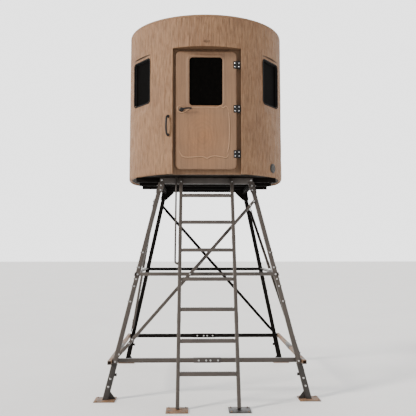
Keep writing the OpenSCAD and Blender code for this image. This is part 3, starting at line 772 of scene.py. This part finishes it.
names = {2: "front_left", 3: "front_right", 1: "rear_left", 0: "rear_right"}
for k, nm in names.items():
    front = k in (2, 3)
    # painted shade: the rear legs and feet take the near-black copy of the tower paint
    main = M_STEEL if front else M_PAINTED_SHADE_STEEL
    b = Build()
    leaner(b, k, 0.200, 2.2915, 0.0498, 0.0045)
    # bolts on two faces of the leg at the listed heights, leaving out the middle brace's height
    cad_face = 0 if front else 2
    sx = -1 if k in (2, 1) else 1
    for fc in (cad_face, 3 if k in (2, 1) else 1):
        for z in LEGZ:
            Mf = face(fc, z)
            wx = legc(z) * (sx if fc in (0, 1) else -sx)
            if fc == 1:
                wx = (-1 if front else 1) * legc(z)
            if fc == 3:
                wx = (1 if front else -1) * legc(z)
            if fc == 2:
                wx = -sx * legc(z)
            if abs(z - 1.276) < 0.02 or abs(z - 1.289) < 0.02:
                continue
            b.bolt(Mf @ Matrix.Translation((wx, 0, 0)), 0.0085)
    b.make("leg_tube_" + nm, [main, M_BOLT], "tower_steel" if front else "dark_steel", reps=("leg_" + nm,))
    b = Build()
    R = AX @ Matrix.Rotation(math.pi / 2 * k, 4, "Z")
    p = 0.1075
    b.box((HB - p, HB - p, 0.0), (HB + p, HB + p, 0.008), R, bevel=0.0015, mi=1)
    leaner(b, k, 0.006, 0.352, 0.060, 0.005, mi=0)
    # lip at the sleeve's mouth
    leaner(b, k, 0.340, 0.352, 0.0615, 0.0015, 2, mi=0)
    # stiffener towards the middle of the face
    out = [(HB - 0.026, 0.006), (HB - 0.104, 0.006), (HB - 0.104, 0.014), (legc(0.088) - 0.028, 0.088)]
    if k % 2 == 0:
        Mg_ = R @ Matrix.Translation((0, legc(0.04) + 0.003, 0))
    else:
        Mg_ = R @ Matrix(((0, 1, 0, legc(0.04) + 0.003), (1, 0, 0, 0), (0, 0, 1, 0), (0, 0, 0, 1))) @ Matrix.Translation((0, 0, 0))
    b.plate(out, 0.006, Mg_, 0)
    for fc, zz in ((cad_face, 0.21), (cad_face, 0.133)):
        wx = (sx if fc == 0 else -sx) * legc(zz)
        b.bolt(face(fc, zz) @ Matrix.Translation((wx, -0.005, 0)), 0.009, mi=2)
    # pull lug on the inner side
    zz = 0.252
    wx = (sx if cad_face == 0 else -sx) * legc(zz)
    Ml = face(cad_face, zz) @ Matrix.Translation((wx, 0.02, 0))
    s2 = -1 if wx > 0 else 1
    b.box((min(s2 * 0.028, s2 * 0.052), -0.004, -0.016), (max(s2 * 0.028, s2 * 0.052), 0.004, 0.014), Ml, bevel=0.0012, mi=0)
    # anchor bolts in the base plate corners
    for ax, ay in ((-0.082, -0.082), (0.082, -0.082), (-0.082, 0.082), (0.082, 0.082)):
        Mb = R @ Matrix.Translation((HB + ax, HB + ay, 0.0075)) @ Matrix.Rotation(-math.pi / 2, 4, "X")
        b.bolt(Mb, 0.008, mi=3, h=0.006)
    b.make("foot_base_" + nm, [M_FOOT if front else M_PAINTED_SHADE_STEEL, M_PLATE, M_BOLT, M_PLATE], "foot_steel", reps=("foot_" + nm,))

# ------------------------------------------------------------------ top frame and rails
b = Build()
# painted shade: the rear bar, the side bars and the side and rear gussets take the near-black copy of the tower paint
for s in (0, math.pi):
    R = AX @ Matrix.Rotation(s, 4, "Z")
    b.box((-0.530, -0.544, 2.293), (0.530, -0.494, 2.363), R, bevel=0.004, seg=3, mi=0 if s == 0 else 2)
    b.box((0.494, -0.4935, 2.270), (0.544, 0.4935, 2.321), R, bevel=0.004, seg=3, mi=2)
for k in range(4):
    for m in (1, -1):
        gx = 0.478 if k == 0 else 0.405
        out = [(0.565, 0), (0.505, 0), (gx, 0.095), (gx, 0.129), (0.540, 0.129), (0.563, 0.060)]
        out = [(x * m, z) for x, z in out]
        if m < 0:
            out = out[::-1]
        b.plate(out, 0.006, face(k, 2.190) @ Matrix.Translation((0, -0.0003, 0)), 0 if k == 0 else 2)
        for x, z in ((0.520, 0.030), (0.517, 0.084)):
            b.bolt(face(k, 2.190) @ Matrix.Translation((x * m, -0.006, z)), 0.0085)
for m in (-1, 1):
    b.bolt(AX @ Matrix.Translation((m * 0.509, -0.544, 2.337)), 0.0095)
b.make("top_frame_bars", [M_STEEL, M_BOLT, M_PAINTED_SHADE_STEEL], "tower_steel", reps=("top_frame",))

# painted shade: the floor rails under the cabin take the near-black copy of the tower paint
b = Build()
for y in (-0.455, -0.025, 0.405):
    b.box((-0.805, y, 2.3213), (0.805, y + 0.050, 2.3723), bevel=0.004, seg=3)
    for s in (-1, 1):
        b.box((min(s * 0.8035, s * 0.8048), y + 0.006, 2.327), (max(s * 0.8035, s * 0.8048), y + 0.044, 2.3665), bevel=0.0)
b.make("floor_rail_bars", [M_PAINTED_SHADE_STEEL], "dark_steel", reps=("floor_rails",))

# ------------------------------------------------------------------ braces
def seg_tube(b, lo, hi, M, t=0.003, mi=0, bore=2):
    """Square tube along X with open, dark ends."""
    x0, y0, z0 = lo
    x1, y1, z1 = hi
    def loop(x, d):
        c = 0.0035 if d == 0 else 0.001
        pts = []
        for yy, zz, s in ((y0 + d, z0 + d, 0), (y1 - d, z0 + d, 1), (y1 - d, z1 - d, 2), (y0 + d, z1 - d, 3)):
            sy = 1 if s in (0, 3) else -1
            sz = 1 if s in (0, 1) else -1
            a = (yy, zz + sz * c); q = (yy + sy * c * 0.3, zz + sz * c * 0.3); e = (yy + sy * c, zz)
            pts += [a, q, e] if s in (0, 2) else [e, q, a]
        return [M @ Vector((x, p[0], p[1])) for p in pts]
    b.ring([loop(x0 + 0.06, t), loop(x0 + 0.0005, t), loop(x0, t * 0.8), loop(x0, 0.0), loop(x1, 0.0), loop(x1, t * 0.8), loop(x1 - 0.0005, t), loop(x1 - 0.06, t)], mi, cap=True)

for k, nm in ((0, "front"), (2, "rear")):
    dk = k == 2
    # painted shade: the rear braces take the near-black copy of the tower paint
    mats = [M_PAINTED_SHADE_STEEL if dk else M_STEEL, M_BOLT, M_PAINTED_SHADE_STEEL, M_RAIL]
    sl = "dark_steel" if dk else "tower_steel"
    # middle angle
    b = Build()
    F = face(k, 1.280)
    b.box((-0.7745, -0.0045, -0.020), (0.7745, -0.0005, 0.020), F, bevel=0.0012)
    b.box((-0.718, -0.0012, 0.016), (0.718, 0.0352, 0.020), F, bevel=0.0012)
    for x in (-legc(1.28), legc(1.28)):
        b.bolt(F @ Matrix.Translation((x, -0.0045, -0.003)), 0.009)
    b.bolt(F @ Matrix.Translation((0.195, -0.0045, -0.002)), 0.0045, mi=2, washer=False, h=0.0012)
    b.make("mid_angle_" + nm, mats, sl, reps=("mid_brace_" + nm,))
    # lower tube with its splice
    b = Build()
    R = AX @ Matrix.Rotation(math.pi / 2 * k, 4, "Z")
    seg_tube(b, (-0.990, -0.934, 0.3555), (0.990, -0.892, 0.4005), R)
    b.box((-0.145, -0.9369, 0.3526), (0.145, -0.8891, 0.4034), R, bevel=0.003, seg=2, mi=3 if not dk else 2)
    if dk:
        for x in (-0.115, -0.042, 0.005, 0.092):
            b.bolt(R @ Matrix.Translation((x, -0.8891, 0.378)) @ Matrix.Rotation(math.pi, 4, "Z"), 0.0085)
    for x in (-0.088, -0.0095, 0.0357, 0.1164):
        b.bolt(R @ Matrix.Translation((x, -0.9369, 0.378)), 0.0085)
    for x in (-0.965, 0.965):
        b.bolt(face(k, 0.378) @ Matrix.Translation((x, 0.0, 0)), 0.009)
    b.make("low_tube_" + nm, mats, sl, reps=("low_brace_" + nm,))
for k, nm in ((1, "right"), (3, "left")):
    b = Build()
    F = face(k, 1.280)
    x0, x1 = (-0.825, 0.7745) if k == 1 else (-0.7745, 0.825)
    b.box((x0, -0.0045, -0.020), (x1, -0.0005, 0.020), F, bevel=0.0012)
    b.box((-0.718, -0.0012, 0.016), (0.718, 0.0352, 0.020), F, bevel=0.0012)
    for x in (-legc(1.28), legc(1.28)):
        b.bolt(F @ Matrix.Translation((x, -0.0045, -0.003)), 0.009)
    b.make("mid_angle_" + nm, [M_STEEL, M_BOLT], "tower_steel", reps=("mid_brace_" + nm,))
    b = Build()
    R = AX @ Matrix.Rotation(math.pi / 2 * k, 4, "Z")
    x0, x1 = (-1.055, 1.000) if k == 1 else (-1.000, 1.055)
    seg_tube(b, (x0, -1.035, 0.358), (x1, -0.995, 0.398), R)
    for x in (-0.965, 0.965):
        b.bolt(R @ Matrix.Translation((x, -1.035, 0.378)), 0.009)
    b.box((-0.145, -1.0365, 0.3555), (0.145, -0.9935, 0.4005), R, bevel=0.0025, mi=2)
    for x in (-0.10, -0.03, 0.03, 0.10):
        b.bolt(R @ Matrix.Translation((x, -1.0365, 0.378)), 0.0085)
    b.make("low_tube_" + nm, [M_SIDE, M_BOLT, M_RAIL], "tower_steel", reps=("low_brace_" + nm,))
for k, nm in ((0, "front"), (1, "right"), (2, "rear"), (3, "left")):
    b = Build()
    ca = math.cos(ALPHA)
    x0, z0, x1, z1 = 0.545, 2.100 / ca, -0.930, 0.440 / ca
    Ld = math.hypot(x0 - x1, z0 - z1)
    D = face(k, 0.0) @ Matrix.Translation((x1, -0.010, z1)) @ Matrix.Rotation(-math.atan2(z0 - z1, x0 - x1), 4, "Y")
    b.box((-0.015, 0.0, -0.0165), (Ld + 0.015, 0.005, 0.0165), D, bevel=0.0015)
    # the lapped end pieces and their bolts
    b.box((0.000, -0.0035, -0.0160), (0.235, 0.0003, 0.0160), D, bevel=0.0012)
    for x in (0.012, 0.165, 0.215):
        b.bolt(D @ Matrix.Translation((x, -0.0035, 0)), 0.0085)
    tc = (1.280 / ca - z1) / (z0 - z1)
    b.box((0.060, 0.003, -0.0165), (Ld * tc - 0.045, 0.030, -0.0125), D, bevel=0.0012)
    b.box((Ld * tc + 0.065, 0.003, -0.0165), (Ld - 0.060, 0.030, -0.0125), D, bevel=0.0012)
    b.bolt(D @ Matrix.Translation((Ld * tc, 0.0, 0)), 0.009)
    for x in (Ld - 0.012, Ld - 0.075):
        b.bolt(D @ Matrix.Translation((x, 0.0, 0)), 0.0085)
    # painted shade: the rear diagonal takes the near-black copy of the tower paint
    b.make("diagonal_bar_" + nm, [M_PAINTED_SHADE_STEEL if k == 2 else M_STEEL, M_BOLT], "dark_steel" if k == 2 else "tower_steel", reps=("diagonal_" + nm,))

# ------------------------------------------------------------------ ladder and handrail
def lad(x, y, zl):
    cb, sb = math.cos(BETA), math.sin(BETA)
    return Vector((x, -LF + y * cb + zl * sb + Y0, -y * sb + zl * cb))
def stx(z):
    return 0.2985 - 0.0115 * z / 2.35
b = Build()
ztop = 2.350 / math.cos(BETA)
for m in (-1, 1):
    M = AX @ Matrix.Translation((m * 0.2985, -LF, 0)) @ Matrix.Rotation(-BETA, 4, "X") @ Matrix.Rotation(math.radians(-m * 0.2615), 4, "Y")
    b.box((-0.0185, -0.0225, 0.016), (0.0185, 0.0225, ztop - 0.001), M, bevel=0.0045, seg=3)
    b.box((m * 0.302 - 0.1075, -LF - 0.1075, 0.0), (m * 0.302 + 0.1075, -LF + 0.1075, 0.008), bevel=0.0015, mi=2 if m < 0 else 3)
    for ax, ay in ((-0.082, -0.082), (0.082, -0.082), (-0.082, 0.082), (0.082, 0.082)):
        b.bolt(AX @ Matrix.Translation((m * 0.302 + ax, -LF + ay, 0.0075)) @ Matrix.Rotation(-math.pi / 2, 4, "X"), 0.008, mi=2, h=0.006)
    # section joints of the stile
    for zj in (0.86, 1.72):
        b.box((-0.0198, -0.0238, zj), (0.0198, 0.0238, zj + 0.10), M, bevel=0.003, seg=2)
        for dz_ in (0.022, 0.078):
            b.lathe([(0.0055, -0.001), (0.0055, 0.0015), (0.004, 0.0026), (0.002, 0.003)], M @ Matrix.Translation((0, -0.0238, zj + dz_)), 16, 0)
    b.bolt(M @ Matrix.Translation((0, -0.0225, ztop - 0.05)), 0.0075)
    # bracket from the stile to the platform beam
    zt_ = 2.318
    b.box((m * stx(zt_) - 0.016, -LF + SL * zt_ + 0.012, zt_ - 0.018), (m * stx(zt_) + 0.016, -0.5442, zt_ + 0.020), bevel=0.002)
for i in range(7):
    z = 0.325 + 0.3045 * i
    x, y = stx(z) - 0.012, -LF + SL * z
    b.box((-x, y - 0.025, z - 0.020), (x, y + 0.025, z + 0.0135), bevel=0.003, seg=2, mi=4)
    # raised tread teeth along both edges
    nt_ = 24
    for row in (-0.019, 0.0, 0.019):
        for j in range(nt_):
            cx = -x + 0.024 + (2 * x - 0.048) * (j + (0.5 if row == 0 else 0.0)) / (nt_ - 0.5)
            M = AX @ Matrix.Translation((cx, y + row, z + 0.013))
            w = 0.0068
            pts = [(-w, -0.005, 0), (w, -0.005, 0), (w, 0.005, 0), (-w, 0.005, 0), (-w * 0.5, -0.003, 0.0062), (w * 0.5, -0.003, 0.0062), (w * 0.5, 0.003, 0.0062), (-w * 0.5, 0.003, 0.0062)]
            b.hexa([M @ Vector(p) for p in pts], 0, mi=4)
    # weld beads where the rung meets the stiles
    for m in (-1, 1):
        for yy in (-0.0262, 0.0262):
            b.sweep([Vector((m * (stx(z) - 0.019), y + yy + Y0, z - 0.018 + 0.036 * t / 6)) for t in range(7)], [0.003 + 0.0006 * (t % 2) for t in range(7)], 8, mi=4)
b.make("ladder_frame", [M_STEEL2, M_BOLT, M_PLATE, M_FOOT, M_STEEL2], "tower_steel", reps=("ladder",))

b = Build()
ze = (2.3722 - 0.0) / math.cos(BETA)
pts = [lad(-0.3112, 0, 1.4995), lad(-0.318, 0, 1.4995), lad(-0.327, 0, 1.502), lad(-0.335, 0, 1.509), lad(-0.3405, 0, 1.521), lad(-0.342, 0, 1.536), lad(-0.342, 0, 1.60)]
path = smooth_path(pts, 5)
path += [lad(-0.342, 0, 1.60 + (ze - 0.006 - 1.60) * t / 10) for t in range(1, 11)]
b.sweep(path, 0.0103, 18)
b.lathe([(0.016, -0.002), (0.016, 0.004), (0.012, 0.005)], Matrix.Translation(lad(-0.3112, 0, 1.4995)) @ Matrix.Rotation(math.radians(-90), 4, "Z"), 20)
b.make("handrail_tube", [M_RAIL], "black_hardware", reps=("handrail",))

# ------------------------------------------------------------------ floor and light
me = bpy.data.meshes.new("studio_floor")
me.from_pydata([(-60, -60, 0), (60, -60, 0), (60, 60, 0), (-60, 60, 0)], [], [(0, 1, 2, 3)])
fl = bpy.data.objects.new("studio_floor", me)
bpy.context.collection.objects.link(fl)
m, nt, p = mat("floor_paint")
v = coords(nt, "Object")
nt.links.new(ramp(nt, nz(nt, v, 0.8, 3), [(0.3, (0.84, 0.84, 0.84)), (0.7, (0.87, 0.87, 0.87))]), p.inputs["Base Color"])
p.inputs["Roughness"].default_value = 0.9
me.materials.append(m)

w = bpy.data.worlds.new("studio")
bpy.context.scene.world = w
w.use_nodes = True
bg = w.node_tree.nodes["Background"]
bg.inputs["Color"].default_value = (1, 1, 1, 1)
wt = w.node_tree
tc = wt.nodes.new("ShaderNodeTexCoord")
sp = wt.nodes.new("ShaderNodeSeparateXYZ")
wt.links.new(tc.outputs["Generated"], sp.inputs[0])
mr = wt.nodes.new("ShaderNodeMapRange")
mr.interpolation_type = "SMOOTHSTEP"
for i_, v_ in enumerate((-0.1, 0.75, 0.50, 2.7)):
    mr.inputs[i_ + 1].default_value = v_
wt.links.new(sp.outputs["Y"], mr.inputs[0])
wt.links.new(mr.outputs[0], bg.inputs["Strength"])

def sun(name, az, el, strength, angle, col=(1, 1, 1)):
    l = bpy.data.lights.new(name, "SUN")
    l.energy = strength
    l.angle = math.radians(angle)
    l.color = col
    o = bpy.data.objects.new(name, l)
    d = Vector((math.sin(math.radians(az)) * math.cos(math.radians(el)), -math.cos(math.radians(az)) * math.cos(math.radians(el)), math.sin(math.radians(el))))
    o.rotation_euler = d.to_track_quat("Z", "Y").to_euler()
    bpy.context.collection.objects.link(o)
sun("key", -64, 26, 4.3, 12, (1.0, 0.93, 0.84))
sun("fill", 38, 16, 1.0, 50, (1.0, 0.98, 0.96))
